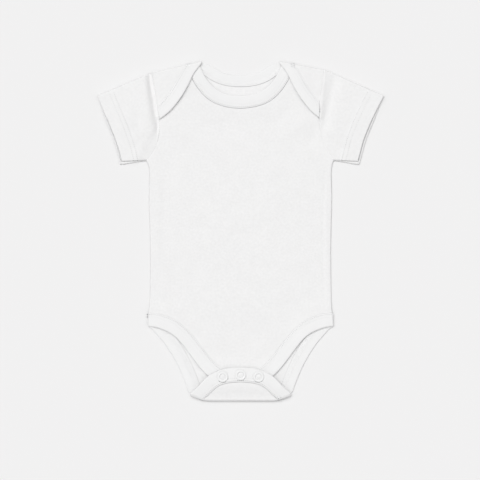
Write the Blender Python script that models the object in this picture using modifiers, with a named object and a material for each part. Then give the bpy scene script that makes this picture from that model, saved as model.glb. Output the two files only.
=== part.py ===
"""Short-sleeved baby bodysuit with lap shoulders and a snapped crotch, laid flat, front up.

Frame: metres, +Z out of the garment's front, +Y towards the neck, +X to the right as seen
from the front. The origin is on the surface that the garment lies on, under the middle of
its outline. The sizes below are in millimetres, and MM makes them metres in the meshes.

The back is the lowest layer. Its shoulder laps turn over the top fold and lie on the front,
and its crotch flap turns up over the bottom fold and is snapped onto the front's tab.
"""
import math
from collections import namedtuple

import bmesh
import bpy
from mathutils import Vector

MM = 0.001
LEFT = -1
RIGHT = 1

# walls and the clearance between layers
KNIT = 1.0
BINDING = 1.6
GAP = 0.3
SEAM_GAP = 0.35
PUFF = 0.9

# shoulder fold: straight from its neck end down to the top of the armhole
FOLD_TOP = 187.0
FOLD_NECK_END = 43.0
FOLD_DROP = {LEFT: 0.232, RIGHT: 0.186}
FRONT_INSET = 2.9
FOLD_END_INSET = 0.7

# crotch fold: level, and rising at its two corners
CROTCH_FOLD = -187.0
CROTCH_CORNER_START = 34.0
CROTCH_CORNER_REACH = 21.6
CROTCH_CORNER_RISE = 6.0
FLAP_FLOOR_AT_FOLD = 3.9

# snap fasteners
SNAP_CENTRES = ((-19.7, -159.6), (0.0, -157.6), (19.7, -159.6))
SNAP_RADIUS = 5.8
SNAP_RING_WIDTH = 2.5
SNAP_RING_HEIGHT = 0.9
SNAP_PLATE = 0.5
SOCKET_HEIGHT = 0.8
STUD_RADIUS = 1.9
STUD_CLEARANCE = 0.35
SNAP_SEGMENTS = 20

# heights of the layers at the crotch
TAB_FLOOR = KNIT + GAP + SNAP_PLATE + GAP
TAB_TOP = TAB_FLOOR + BINDING
SOCKET_FLOOR = TAB_TOP + GAP + SNAP_PLATE + GAP
FLAP_FLOOR = SOCKET_FLOOR + SOCKET_HEIGHT + GAP
FLAP_TOP = FLAP_FLOOR + BINDING

# meshing
FOLD_STEPS = 6
FRONT_COLUMNS = 7
BACK_COLUMNS = 5
SLEEVE_WALL_STEPS = 8
SLEEVE_END_STEPS = 4

Reach = namedtuple("Reach", "height left right")
Strip = namedtuple("Strip", "free_x free_y seam_x seam_y")
Ring = namedtuple("Ring", "share thickness")

# armhole seam, from the underarm up: how far it lies from the middle on each side
ARMHOLE = (
    Reach(78.0, 104.0, 102.6),
    Reach(85.0, 98.0, 98.0),
    Reach(95.0, 92.8, 92.4),
    Reach(107.0, 89.6, 88.6),
    Reach(121.0, 89.2, 86.2),
    Reach(137.0, 90.8, 86.7),
    Reach(154.0, 93.4, 88.1),
    Reach(174.3, 97.6, 91.0),
)

# side seam, from the leg up
SIDE = (
    Reach(-90.0, 101.3, 100.9),
    Reach(-76.0, 99.9, 99.9),
    Reach(-21.0, 99.2, 99.2),
    Reach(34.0, 100.6, 100.3),
    Reach(62.0, 100.0, 99.9),
    Reach(72.0, 101.2, 100.6),
    Reach(77.7, 103.8, 102.4),
)

# cuff of the sleeve, from its top fold down to the underarm
CUFF = (
    Reach(149.0, 157.0, 157.4),
    Reach(135.0, 151.5, 150.2),
    Reach(118.7, 144.4, 142.5),
    Reach(101.0, 137.4, 135.3),
    Reach(88.0, 132.7, 131.4),
    Reach(77.5, 130.8, 129.0),
)

# the bindings: a row is one section across the strip, from its folded edge to its seam
FRONT_NECK = (
    Strip(0.0, 148.9, 0.0, 135.0),
    Strip(8.0, 149.5, 9.5, 135.8),
    Strip(16.0, 151.0, 19.0, 137.7),
    Strip(23.5, 154.2, 29.0, 141.4),
    Strip(30.5, 159.6, 38.0, 147.4),
    Strip(36.6, 166.5, 45.6, 155.8),
    Strip(41.0, 174.0, 52.0, 165.8),
    Strip(45.6, 183.4, 58.6, 180.3),
)
BACK_NECK = (
    Strip(0.0, 171.3, 0.0, 159.0),
    Strip(9.0, 171.8, 9.5, 159.4),
    Strip(18.4, 173.8, 20.5, 161.5),
    Strip(26.0, 177.8, 31.0, 165.8),
    Strip(33.0, 182.0, 40.5, 172.2),
    Strip(38.5, 184.0, 50.0, 178.0),
)
LAP = (
    Strip(51.2, 173.2, 63.6, 177.0),
    Strip(54.8, 165.8, 66.9, 171.0),
    Strip(58.9, 157.8, 70.7, 164.2),
    Strip(64.3, 148.7, 75.5, 156.2),
    Strip(71.2, 139.3, 81.7, 147.8),
    Strip(78.8, 130.8, 87.6, 141.0),
    Strip(87.4, 123.8, 90.6, 137.5),
)
FRONT_LEG = (
    Strip(101.8, -104.4, 101.2, -89.8),
    Strip(91.0, -106.2, 88.0, -91.2),
    Strip(79.0, -111.0, 72.5, -97.2),
    Strip(71.0, -116.6, 61.5, -105.5),
    Strip(64.0, -124.2, 53.0, -114.4),
    Strip(58.0, -132.2, 46.4, -122.6),
    Strip(47.0, -147.0, 36.0, -136.0),
    Strip(40.5, -154.5, 30.4, -142.6),
    Strip(35.2, -159.3, 26.0, -146.8),
    Strip(29.0, -163.2, 20.6, -150.6),
    Strip(20.0, -165.4, 14.0, -152.4),
    Strip(10.0, -166.2, 7.0, -153.0),
    Strip(0.0, -166.4, 0.0, -153.2),
)
BACK_LEG = (
    Strip(101.2, -105.0, 100.6, -90.6),
    Strip(97.0, -108.3, 89.5, -96.5),
    Strip(91.3, -114.6, 80.6, -105.4),
    Strip(83.3, -124.2, 71.9, -115.8),
    Strip(75.2, -136.5, 63.1, -129.1),
    Strip(69.1, -147.5, 56.4, -141.2),
    Strip(63.9, -159.2, 50.8, -153.6),
    Strip(60.2, -168.4, 46.8, -163.6),
    Strip(57.6, -175.8, 43.6, -174.0),
)
FLAP = (
    Strip(46.0, -169.8, 35.0, -179.6),
    Strip(38.0, -161.3, 28.8, -173.4),
    Strip(30.6, -156.2, 23.0, -169.4),
    Strip(22.0, -152.5, 16.0, -167.0),
    Strip(11.5, -150.2, 8.5, -165.9),
    Strip(0.0, -149.7, 0.0, -165.3),
)

# where the binding crosses the two folds: its folded edge and its seam
SHOULDER_CROSSING = (42.8, 60.2)
CROTCH_CROSSING = (55.4, 40.2)

# sleeve sections from the armhole to the cuff: the dip is the hollow beside the armhole
SLEEVE = (
    Ring(0.0, 3.6),
    Ring(0.14, 3.0),
    Ring(0.34, 4.0),
    Ring(0.56, 3.8),
    Ring(0.8, 3.4),
    Ring(1.0, 3.2),
)
CUFF_STEP = 2.2
CUFF_STEP_START = 30.0

# the lap's panel ends where this little of it is left between its binding and the armhole
LAP_TIP_WIDTH = 1.4


def ramp(value, start, end):
    """A soft step: 0 at start, 1 at end."""
    share = min(max((value - start) / (end - start), 0.0), 1.0)
    return share * share * (3.0 - 2.0 * share)


def smooth(points, count):
    """Evenly spaced points on a smooth curve through the given ones."""
    points = [Vector(point) for point in points]
    ends = [2.0 * points[0] - points[1]] + points + [2.0 * points[-1] - points[-2]]
    fine = []
    for index in range(1, len(ends) - 2):
        before, start, end, after = ends[index - 1:index + 3]
        for step in range(12):
            t = step / 12
            bend = 2.0 * start + (end - before) * t
            bend += (2.0 * before - 5.0 * start + 4.0 * end - after) * t * t
            bend += (3.0 * start - before - 3.0 * end + after) * t ** 3
            fine.append(0.5 * bend)
    fine.append(points[-1])
    return spaced(fine, count)


def spaced(line, count):
    """The line again, as count points at equal distances along it."""
    lengths = [0.0]
    for start, end in zip(line, line[1:]):
        lengths.append(lengths[-1] + (end - start).length)
    result = []
    span = 0
    for index in range(count):
        target = lengths[-1] * index / (count - 1)
        while span < len(line) - 2 and lengths[span + 1] < target:
            span += 1
        share = (target - lengths[span]) / (lengths[span + 1] - lengths[span])
        result.append(line[span].lerp(line[span + 1], share))
    return result


def shifted(line, distance):
    """A plan line moved to its left by a distance."""
    result = []
    for index, point in enumerate(line):
        ahead = line[min(index + 1, len(line) - 1)] - line[max(index - 1, 0)]
        result.append(point + Vector((-ahead.y, ahead.x)).normalized() * distance)
    return result


def edge(table, side):
    """The plan points of a table of reaches on one side, as positive x."""
    return [(row.left if side == LEFT else row.right, row.height) for row in table]


def reach_at(table, side, height):
    """How far a table's line lies from the middle at a height in plan."""
    line = smooth(edge(table, side), 60)
    return min(line, key=lambda point: abs(point.y - height)).x


def strip_edges(rows, count):
    """The folded edge and the seam of a table of strip sections, each as count points."""
    sections = smooth([tuple(row) for row in rows], count)
    return [Vector(row[:2]) for row in sections], [Vector(row[2:]) for row in sections]


def shoulder_fold(x, side):
    """Height in plan of the shoulder fold at a distance from the middle."""
    return FOLD_TOP - FOLD_DROP[side] * max(x - FOLD_NECK_END, 0.0)


def crotch_fold(x):
    """Height in plan of the bottom fold at a distance from the middle."""
    share = max(x - CROTCH_CORNER_START, 0.0) / CROTCH_CORNER_REACH
    return CROTCH_FOLD + CROTCH_CORNER_RISE * share ** 2


def front_floor(x, y):
    """Underside of the front's layers: it lies on the back and over the back's bindings."""
    over_back_neck = ramp(y, 150.0, 164.0) * (1.0 - ramp(x, 66.0, 84.0))
    over_back_leg = ramp(x, 54.0, 68.0) * ramp(-y, 74.0, 86.0)
    over_snaps = ramp(-y, 128.0, 146.0)
    puff = PUFF * (1.0 - ramp(x, 20.0, 95.0)) * ramp(-abs(y - 10.0), -120.0, -20.0)
    step = (BINDING - KNIT) * max(over_back_neck, over_back_leg)
    return KNIT + GAP + puff + max(step, (TAB_FLOOR - KNIT - GAP) * over_snaps)


def lap_floor(x):
    """Underside of the laps: on the front panel, and higher over the front neck binding."""
    low = 2.0 * (KNIT + GAP)
    return low + (2.0 * BINDING - KNIT - KNIT) * (1.0 - ramp(x, 60.0, 84.0))


def flap_floor(y):
    """Underside of the crotch flap: low at the fold and over the snaps at its edge."""
    return FLAP_FLOOR_AT_FOLD + (FLAP_FLOOR - FLAP_FLOOR_AT_FOLD) * ramp(y, -184.0, -168.0)


def across(outer, inner, columns, height):
    """A row of surface points from an outer to an inner plan point."""
    row = []
    for index in range(columns + 1):
        point = outer.lerp(inner, index / columns)
        row.append(Vector((point.x, point.y, height(point.x, point.y))))
    return row


def turned(outer_x, inner_x, columns, axis, half_height, direction):
    """Rows round a fold, from the lower layer to the upper one, about the fold's axis."""
    rows = []
    for step in range(FOLD_STEPS + 1):
        angle = math.pi * step / FOLD_STEPS
        row = []
        for index in range(columns + 1):
            x = outer_x + (inner_x - outer_x) * index / columns
            radius = half_height(x)
            y = axis(x) + direction * radius * math.sin(angle)
            row.append(Vector((x, y, radius * (1.0 - math.cos(angle)))))
        rows.append(row)
    return rows


def collection(name):
    """A collection of the scene, made once."""
    found = bpy.data.collections.new(name)
    bpy.context.scene.collection.children.link(found)
    return found


def finish(name, colour, roughness, metallic=0.0):
    """A plain material of one colour."""
    material = bpy.data.materials.new(name)
    material.use_nodes = True
    shader = material.node_tree.nodes["Principled BSDF"]
    shader.inputs["Base Color"].default_value = (*colour, 1.0)
    shader.inputs["Roughness"].default_value = roughness
    shader.inputs["Metallic"].default_value = metallic
    return material


def add_object(name, mesh, material, home):
    """An object that carries a mesh and its material."""
    mesh.materials.append(material)
    piece = bpy.data.objects.new(name, mesh)
    home.objects.link(piece)
    return piece


def add_rows(frame, rows, side, closed=False):
    """Adds a sheet through rows of points, mirrored on the left side, to a bmesh."""
    grid = []
    for row in rows:
        grid.append([frame.verts.new(Vector((side * p.x, p.y, p.z)) * MM) for p in row])
    columns = len(rows[0]) if closed else len(rows[0]) - 1
    for lower, upper in zip(grid, grid[1:]):
        for index in range(columns):
            after = (index + 1) % len(lower)
            corners = (lower[index], lower[after], upper[after], upper[index])
            frame.faces.new(corners if side == RIGHT else reversed(corners))


def add_cloth(name, sheets, wall, material, home, closed=False):
    """A cloth wall: its outer surface given as rows for each side, thickened inwards."""
    frame = bmesh.new()
    for side, rows in sheets:
        add_rows(frame, rows, side, closed)
    bmesh.ops.remove_doubles(frame, verts=frame.verts, dist=0.01 * MM)
    mesh = bpy.data.meshes.new(name)
    frame.to_mesh(mesh)
    frame.free()
    piece = add_object(name, mesh, material, home)
    thicken = piece.modifiers.new("wall", "SOLIDIFY")
    thicken.thickness = wall * MM
    thicken.offset = -1.0
    thicken.use_even_offset = True
    return piece


def front_rows(side):
    """Rows of the front panel's top surface, from the snap tab up to the shoulder."""
    def height(x, y):
        return front_floor(x, y) + KNIT

    leg = strip_edges(FRONT_LEG[:-2], 12)[1]
    leg = shifted(leg, -SEAM_GAP)
    leg.reverse()
    sides = smooth(edge(SIDE, side), 9)
    armhole = smooth(edge(ARMHOLE, side), 13)
    armhole[-1].y = shoulder_fold(armhole[-1].x, side) - FRONT_INSET
    neck = strip_edges(FRONT_NECK, 10)[1]
    neck = shifted(neck, -SEAM_GAP)
    neck[0].x = 0.0
    tab_end = FRONT_LEG[-1].seam_y + SEAM_GAP
    leg[0].y = tab_end + 0.6
    outer = leg + sides[1:] + armhole[1:]
    rise = len(outer) - len(neck)
    middle = spaced([Vector((0.0, tab_end)), Vector((0.0, neck[0].y))], rise + 1)
    inner = middle + neck[1:]
    return [across(into, out, FRONT_COLUMNS, height) for out, into in zip(outer, inner)]


def lap_fold_radius(wall):
    """Radius of the shoulder fold, outside a wall of the given thickness."""
    return lambda x: 0.5 * (lap_floor(x) + wall)


def flap_fold_radius(wall):
    """Radius of the crotch fold, outside a wall of the given thickness."""
    return lambda x: 0.5 * (FLAP_FLOOR_AT_FOLD + wall)


def shoulder_axis(side):
    """Plan line that the shoulder fold turns about, inside its outline."""
    return lambda x: shoulder_fold(x, side) - lap_fold_radius(BINDING)(x)


def crotch_axis(x):
    """Plan line that the crotch fold turns about, inside its outline."""
    return crotch_fold(x) + flap_fold_radius(BINDING)(x)


def crossing(xs, axis):
    """Section of a binding where it starts round a fold."""
    free_x, seam_x = xs
    return Strip(free_x, axis(free_x), seam_x, axis(seam_x))


def back_neck_sections(side):
    """Edges of the back neck binding, from the middle to the shoulder fold."""
    return strip_edges(BACK_NECK + (crossing(SHOULDER_CROSSING, shoulder_axis(side)),), 10)


def lap_sections(side):
    """Edges of the lap's binding, from the shoulder fold to the armhole, cut off there."""
    free, seam = strip_edges((crossing(SHOULDER_CROSSING, shoulder_axis(side)),) + LAP, 11)
    for point in free + seam:
        point.x = min(point.x, reach_at(ARMHOLE, side, point.y) - GAP)
    return free, seam


def back_leg_sections():
    """Edges of the back leg binding, from the side seam to the crotch fold."""
    return strip_edges(BACK_LEG + (crossing(CROTCH_CROSSING, crotch_axis),), 15)


def flap_sections():
    """Edges of the flap's binding, from the crotch fold to the top of the arch."""
    return strip_edges((crossing(CROTCH_CROSSING, crotch_axis),) + FLAP, 10)


def back_rows(side):
    """Rows of the back panel's outer surface: flap, crotch fold, body, shoulder fold, lap."""
    armhole = smooth(edge(ARMHOLE, side), 13)

    crotch = turned(CROTCH_CROSSING[1] - SEAM_GAP, 0.0, BACK_COLUMNS, crotch_axis,
                    flap_fold_radius(KNIT), -1)
    crotch.reverse()
    shoulder = turned(armhole[-1].x - FOLD_END_INSET, SHOULDER_CROSSING[1] + SEAM_GAP, BACK_COLUMNS,
                      shoulder_axis(side), lap_fold_radius(KNIT), 1)

    arch = shifted(flap_sections()[1], SEAM_GAP)[1:-1]
    arch.reverse()
    middle = spaced([Vector((0.0, FLAP[-1].seam_y - SEAM_GAP)),
                     Vector((0.0, crotch[0][-1].y))], len(arch) + 1)
    flap = [across(a, b, BACK_COLUMNS, lambda x, y: flap_floor(y) + KNIT)
            for a, b in zip(arch, middle)]

    leg = shifted(back_leg_sections()[1], -SEAM_GAP)[:-1]
    leg.reverse()
    sides = smooth(edge(SIDE, side), 7)
    armhole[-1].y = shoulder[0][0].y
    neck = shifted(back_neck_sections(side)[1], -SEAM_GAP)[:-1]
    neck[0].x = 0.0
    outer = leg + sides[1:] + armhole[1:-1]
    middle = spaced([Vector((0.0, crotch[-1][-1].y)), Vector((0.0, neck[0].y))],
                    len(outer) - len(neck) + 2)
    body = [across(a, b, BACK_COLUMNS, lambda x, y: 0.0)
            for a, b in zip(outer, middle[1:] + neck[1:])]

    seam = [point for point in shifted(lap_sections(side)[1], SEAM_GAP)[1:]
            if reach_at(ARMHOLE, side, point.y) - point.x > LAP_TIP_WIDTH]
    armhole_edge = [point for point in reversed(armhole) if point.y > seam[-1].y + 0.5]
    armhole_edge = spaced(armhole_edge, len(seam) + 1)[1:]
    lap = [across(a, b, BACK_COLUMNS, lambda x, y: lap_floor(x) + KNIT)
           for a, b in zip(armhole_edge, seam)]
    return flap + crotch + body + shoulder + lap


def strip_rows(free, seam, height):
    """Rows across a strip, from its folded edge to its seam."""
    return [across(a, b, 2, height) for a, b in zip(free, seam)]


def front_neck_rows(side):
    free, seam = strip_edges(FRONT_NECK, 13)
    return strip_rows(free, seam, lambda x, y: front_floor(x, y) + BINDING)


def front_leg_rows(side):
    free, seam = strip_edges(FRONT_LEG, 20)
    return strip_rows(free, seam, lambda x, y: front_floor(x, y) + BINDING)


def back_neck_rows(side):
    """Back neck binding of one side: back neck, over the shoulder fold, edge of the lap."""
    fold = turned(*SHOULDER_CROSSING, 2, shoulder_axis(side), lap_fold_radius(BINDING), 1)
    free, seam = back_neck_sections(side)
    back = strip_rows(free[:-1], seam[:-1], lambda x, y: 0.0)
    free, seam = lap_sections(side)
    lap = strip_rows(free[1:], seam[1:], lambda x, y: lap_floor(x) + BINDING)
    return [list(reversed(row)) for row in back + fold + lap]


def back_leg_rows(side):
    """Back leg binding of one side: leg edge, over the crotch fold, round the flap's arch."""
    fold = turned(*CROTCH_CROSSING, 2, crotch_axis, flap_fold_radius(BINDING), -1)
    free, seam = back_leg_sections()
    leg = strip_rows(free[:-1], seam[:-1], lambda x, y: 0.0)
    free, seam = flap_sections()
    flap = strip_rows(free[1:], seam[1:], lambda x, y: flap_floor(y) + BINDING)
    return [list(reversed(row)) for row in leg + fold + flap]


def sleeve_ring(armhole, cuff, ring):
    """One closed section of a sleeve: front wall, underarm, back wall, top fold."""
    line = [start.lerp(end, ring.share) for start, end in zip(armhole, cuff)]
    half = 0.5 * ring.thickness
    length = sum((b - a).length for a, b in zip(line, line[1:]))
    points = []

    def add(distance, z):
        place = min(max(distance / length, 0.0), 1.0) * (len(line) - 1)
        index = min(int(place), len(line) - 2)
        plan = line[index].lerp(line[index + 1], place - index)
        peek = CUFF_STEP * (1.0 - z / ring.thickness) * min(distance / CUFF_STEP_START, 1.0)
        peek *= 1.0 if ring.share == 1.0 else 0.0
        points.append(Vector((plan.x + peek, plan.y, z)))

    for step in range(SLEEVE_WALL_STEPS + 1):
        add(half + (length - 2.0 * half) * step / SLEEVE_WALL_STEPS, ring.thickness)
    for step in range(1, SLEEVE_END_STEPS):
        angle = math.pi * step / SLEEVE_END_STEPS
        add(length - half + half * math.sin(angle), half + half * math.cos(angle))
    for step in range(SLEEVE_WALL_STEPS + 1):
        add(length - half - (length - 2.0 * half) * step / SLEEVE_WALL_STEPS, 0.0)
    for step in range(1, SLEEVE_END_STEPS):
        angle = math.pi * step / SLEEVE_END_STEPS
        add(half - half * math.sin(angle), half - half * math.cos(angle))
    return points


def sleeve_rows(side):
    """Rings of a sleeve from just outside the armhole seam to the cuff."""
    armhole = smooth(edge(ARMHOLE, side), 25)
    armhole[-1].y = shoulder_fold(armhole[-1].x, side)
    armhole = [point + Vector((SEAM_GAP, 0.0)) for point in reversed(armhole)]
    cuff = smooth(edge(CUFF, side), 25)
    return [sleeve_ring(armhole, cuff, ring) for ring in SLEEVE]


def add_turned(name, profile, centre, material, home):
    """A round piece turned about its upright axis from a (radius, z) profile, top first."""
    mesh = bpy.data.meshes.new(name)
    points = [(radius * MM, 0.0, z * MM) for radius, z in profile]
    links = [(index, index + 1) for index in range(len(points) - 1)]
    if profile[0][0] > 0.0:
        links.append((len(points) - 1, 0))
    mesh.from_pydata(points, links, [])
    piece = add_object(name, mesh, material, home)
    piece.location = (centre[0] * MM, centre[1] * MM, 0.0)
    turn = piece.modifiers.new("turn", "SCREW")
    turn.steps = SNAP_SEGMENTS
    turn.render_steps = SNAP_SEGMENTS
    turn.use_merge_vertices = True
    turn.merge_threshold = 0.01 * MM
    return piece


def ring_profile(outer, inner, floor, height):
    """Section of a flat ring, top edge first, down its outer side."""
    return ((outer, floor + height), (outer, floor), (inner, floor), (inner, floor + height))


def add_snap(number, centre, material, home):
    """One fastened snap: prong ring, socket under the flap, stud and its ring on the tab."""
    middle = SNAP_RADIUS - 0.5 * SNAP_RING_WIDTH
    bpy.ops.mesh.primitive_torus_add(
        major_radius=middle * MM, minor_radius=0.5 * SNAP_RING_WIDTH * MM,
        major_segments=SNAP_SEGMENTS + 4, minor_segments=6)
    ring = bpy.context.active_object
    ring.name = f"snap_ring_{number}"
    ring.data.transform(((1, 0, 0, 0), (0, 1, 0, 0),
                         (0, 0, SNAP_RING_HEIGHT / SNAP_RING_WIDTH, 0), (0, 0, 0, 1)))
    ring.location = (centre[0] * MM, centre[1] * MM,
                     (FLAP_TOP + GAP + 0.5 * SNAP_RING_HEIGHT) * MM)
    ring.data.materials.append(material)
    ring.data.shade_smooth()
    for owner in ring.users_collection:
        owner.objects.unlink(ring)
    home.objects.link(ring)

    hidden = SNAP_RADIUS - 0.5
    bore = STUD_RADIUS + STUD_CLEARANCE
    plate = TAB_TOP + GAP
    knob = SOCKET_FLOOR + SOCKET_HEIGHT - GAP
    add_turned(f"snap_socket_{number}",
               ring_profile(hidden, bore, SOCKET_FLOOR, SOCKET_HEIGHT), centre, material, home)
    add_turned(f"snap_back_ring_{number}",
               ring_profile(hidden, bore, KNIT + GAP, SNAP_PLATE), centre, material, home)
    stud = ((0.0, knob), (STUD_RADIUS, knob), (STUD_RADIUS, plate + SNAP_PLATE),
            (hidden, plate + SNAP_PLATE), (hidden, plate), (0.0, plate))
    add_turned(f"snap_stud_{number}", stud, centre, material, home)


def build():
    for old in list(bpy.data.objects):
        bpy.data.objects.remove(old)
    home = collection("baby_bodysuit")
    interlock = finish("white_interlock", (0.87, 0.87, 0.87), 0.9)
    rib = finish("white_rib", (0.88, 0.88, 0.88), 0.85)
    enamel = finish("white_enamel", (0.80, 0.80, 0.80), 0.35)

    def both(rows):
        return [(side, rows(side)) for side in (LEFT, RIGHT)]

    add_cloth("front_panel", both(front_rows), KNIT, interlock, home)
    add_cloth("back_panel", both(back_rows), KNIT, interlock, home)
    for name, side in (("sleeve_left", LEFT), ("sleeve_right", RIGHT)):
        add_cloth(name, [(side, sleeve_rows(side))], KNIT, interlock, home, closed=True)
    add_cloth("front_neck_binding", both(front_neck_rows), BINDING, rib, home)
    add_cloth("back_neck_binding", both(back_neck_rows), BINDING, rib, home)
    add_cloth("front_leg_binding", both(front_leg_rows), BINDING, rib, home)
    add_cloth("back_leg_binding", both(back_leg_rows), BINDING, rib, home)
    for number, centre in enumerate(SNAP_CENTRES, start=1):
        add_snap(number, centre, enamel, home)


build()
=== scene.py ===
"""Looks of a short-sleeved white baby bodysuit, laid flat with its front up.

+Z is out of the front and +Y towards the neck. Plan sizes and heights are in millimetres,
as a cutter would give them, and MM makes them metres.
"""

import math

import bmesh
import bpy
import numpy as np
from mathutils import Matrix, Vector


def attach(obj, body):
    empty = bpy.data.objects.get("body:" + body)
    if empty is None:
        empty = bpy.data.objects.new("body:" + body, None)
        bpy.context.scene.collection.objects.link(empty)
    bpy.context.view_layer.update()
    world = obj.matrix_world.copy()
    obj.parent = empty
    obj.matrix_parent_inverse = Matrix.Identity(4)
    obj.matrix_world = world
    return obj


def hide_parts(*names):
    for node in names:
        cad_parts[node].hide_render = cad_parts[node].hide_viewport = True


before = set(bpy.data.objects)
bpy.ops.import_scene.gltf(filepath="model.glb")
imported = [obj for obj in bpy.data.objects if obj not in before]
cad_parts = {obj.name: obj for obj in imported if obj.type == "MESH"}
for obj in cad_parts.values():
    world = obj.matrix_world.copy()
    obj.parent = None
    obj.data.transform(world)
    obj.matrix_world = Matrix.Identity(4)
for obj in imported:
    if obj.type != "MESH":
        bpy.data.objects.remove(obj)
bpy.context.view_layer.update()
MM = 0.001
LEFT, RIGHT = -1, 1

# ---------------------------------------------------------------------------------------
# The table it lies on: a pale matt board, lit by a wide window beyond its top left corner
# and by a white ceiling. The camera looks straight down on it.

FRAME_WIDTH = 0.528
CAMERA_HEIGHT = 2.4
CAMERA_PLACE = (-0.0006, -0.0097)
SENSOR = 36.0

scene = bpy.context.scene
scene.view_settings.view_transform = "Standard"
scene.view_settings.look = "None"

eye = bpy.data.cameras.new("camera")
eye.sensor_width = SENSOR
eye.lens = SENSOR * CAMERA_HEIGHT / FRAME_WIDTH
camera = bpy.data.objects.new("camera", eye)
camera.location = (*CAMERA_PLACE, CAMERA_HEIGHT)
scene.collection.objects.link(camera)
scene.camera = camera


class Wire:
    """A node socket that Python's operators add Math nodes to."""

    def __init__(self, tree, link):
        self.tree = tree
        self.link = link

    def maths(self, operation, *values):
        made = self.tree.nodes.new("ShaderNodeMath")
        made.operation = operation
        for socket, value in zip(made.inputs, values):
            plug(self.tree, socket, value)
        return Wire(self.tree, made.outputs[0])

    def __add__(self, other):
        return self.maths("ADD", self, other)

    def __radd__(self, other):
        return self.maths("ADD", other, self)

    def __sub__(self, other):
        return self.maths("SUBTRACT", self, other)

    def __rsub__(self, other):
        return self.maths("SUBTRACT", other, self)

    def __mul__(self, other):
        return self.maths("MULTIPLY", self, other)

    def __rmul__(self, other):
        return self.maths("MULTIPLY", other, self)

    def wave(self, period):
        """A sine of the value with the given period, from -1 to 1."""
        return self.maths("SINE", self * (math.tau / period))

    def size(self):
        return self.maths("ABSOLUTE", self)


def plug(tree, socket, value):
    """Gives a socket a link or a plain value."""
    if isinstance(value, Wire):
        tree.links.new(value.link, socket)
    else:
        socket.default_value = value


def add_node(tree, kind, settings=None, outlet=0, **values):
    """Any other node: its settings first, then its sockets' values or links."""
    made = tree.nodes.new(kind)
    for name, value in (settings or {}).items():
        setattr(made, name, value)
    for name, value in values.items():
        plug(tree, made.inputs[name.replace("_", " ")], value)
    return Wire(tree, made.outputs[outlet])


def new_material(name, roughness, **constants):
    """A Principled material; returns it with its tree and its shader."""
    material = bpy.data.materials.new(name)
    material.use_nodes = True
    shader = material.node_tree.nodes["Principled BSDF"]
    shader.inputs["Roughness"].default_value = roughness
    for socket, value in constants.items():
        shader.inputs[socket.replace("_", " ")].default_value = value
    return material, material.node_tree, shader


def two_tones(tree, shader, share, dark, light):
    """Base colour between two tones by a varying share."""
    blend = add_node(tree, "ShaderNodeMix", {"data_type": "RGBA"}, outlet=2)
    plug(tree, blend.link.node.inputs[0], share)
    blend.link.node.inputs[6].default_value = (*dark, 1.0)
    blend.link.node.inputs[7].default_value = (*light, 1.0)
    plug(tree, shader.inputs["Base Color"], blend)


def speckled(name, roughness, scale, dark, light, **constants):
    """A plain material with fine specks between two tones."""
    material, tree, shader = new_material(name, roughness, **constants)
    place = add_node(tree, "ShaderNodeTexCoord", outlet=3)
    speck = add_node(tree, "ShaderNodeTexNoise", Vector=place, Scale=scale, Detail=2.0)
    two_tones(tree, shader, speck, dark, light)
    return material


board = speckled("pale_board", 0.9, 900.0, (0.796, 0.793, 0.794), (0.808, 0.805, 0.806))

floor_mesh = bpy.data.meshes.new("floor")
FLOOR_HALF = 3.0
floor_mesh.from_pydata(
    [(-FLOOR_HALF, -FLOOR_HALF, 0), (FLOOR_HALF, -FLOOR_HALF, 0),
     (FLOOR_HALF, FLOOR_HALF, 0), (-FLOOR_HALF, FLOOR_HALF, 0)], [], [(0, 1, 2, 3)])
floor_mesh.materials.append(board)
floor = bpy.data.objects.new("floor", floor_mesh)
scene.collection.objects.link(floor)

world = bpy.data.worlds.new("room")
scene.world = world
world.use_nodes = True
tree = world.node_tree
toward = add_node(tree, "ShaderNodeTexCoord")
split = add_node(tree, "ShaderNodeSeparateXYZ", Vector=toward)
upward = Wire(tree, split.link.node.outputs[2])
height = upward.maths("MAXIMUM", upward, 0.0)
sky = tree.nodes["Background"]
sky.inputs["Color"].default_value = (1.0, 1.0, 1.0, 1.0)
plug(tree, sky.inputs["Strength"], height * 0.83 + 0.14)

WINDOW_AIM = (0.27, -0.42, -1.0)
window = bpy.data.lights.new("window", "SUN")
window.energy = 1.42
window.angle = math.radians(40.0)
lamp = bpy.data.objects.new("window", window)
lamp.rotation_euler = Vector(WINDOW_AIM).to_track_quat("-Z", "Y").to_euler()
scene.collection.objects.link(lamp)

# ---------------------------------------------------------------------------------------
# The back panel: one cut of white interlock. It is the lowest layer. Its shoulder laps
# turn over the top fold onto the front, and its crotch flap turns up over the bottom fold.

CLOTH_TONE = 0.806
RIB_TONE = 0.808
KNIT = 1.0
BINDING = 1.6
GAP = 0.3
SHELL = 0.8
PRESSED_GAP = 0.06
COLUMNS = 46
EDGE_COLUMNS = (13.0, 11.8, 10.6, 9.8, 9.0, 8.2, 7.4, 6.2, 4.8, 3.5, 2.6, 1.9, 1.3, 0.8, 0.4, 0.0)
FOLD_STEPS = 14

FOLD_TOP = 187.0
FOLD_NECK_END = 43.0
FOLD_DROP = {LEFT: 0.232, RIGHT: 0.186}
CROTCH_FOLD = -187.0
CROTCH_CORNER_START = 34.0
CROTCH_CORNER_REACH = 21.6
CROTCH_CORNER_RISE = 6.0
FLAP_FLOOR_AT_FOLD = 3.9
TAB_FLOOR = 2.1
FLAP_FLOOR = 5.9
PUFF = 0.9
SHOULDER_CROSSING = (42.8, 60.2)
CROTCH_CROSSING = (55.4, 40.2)

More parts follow.
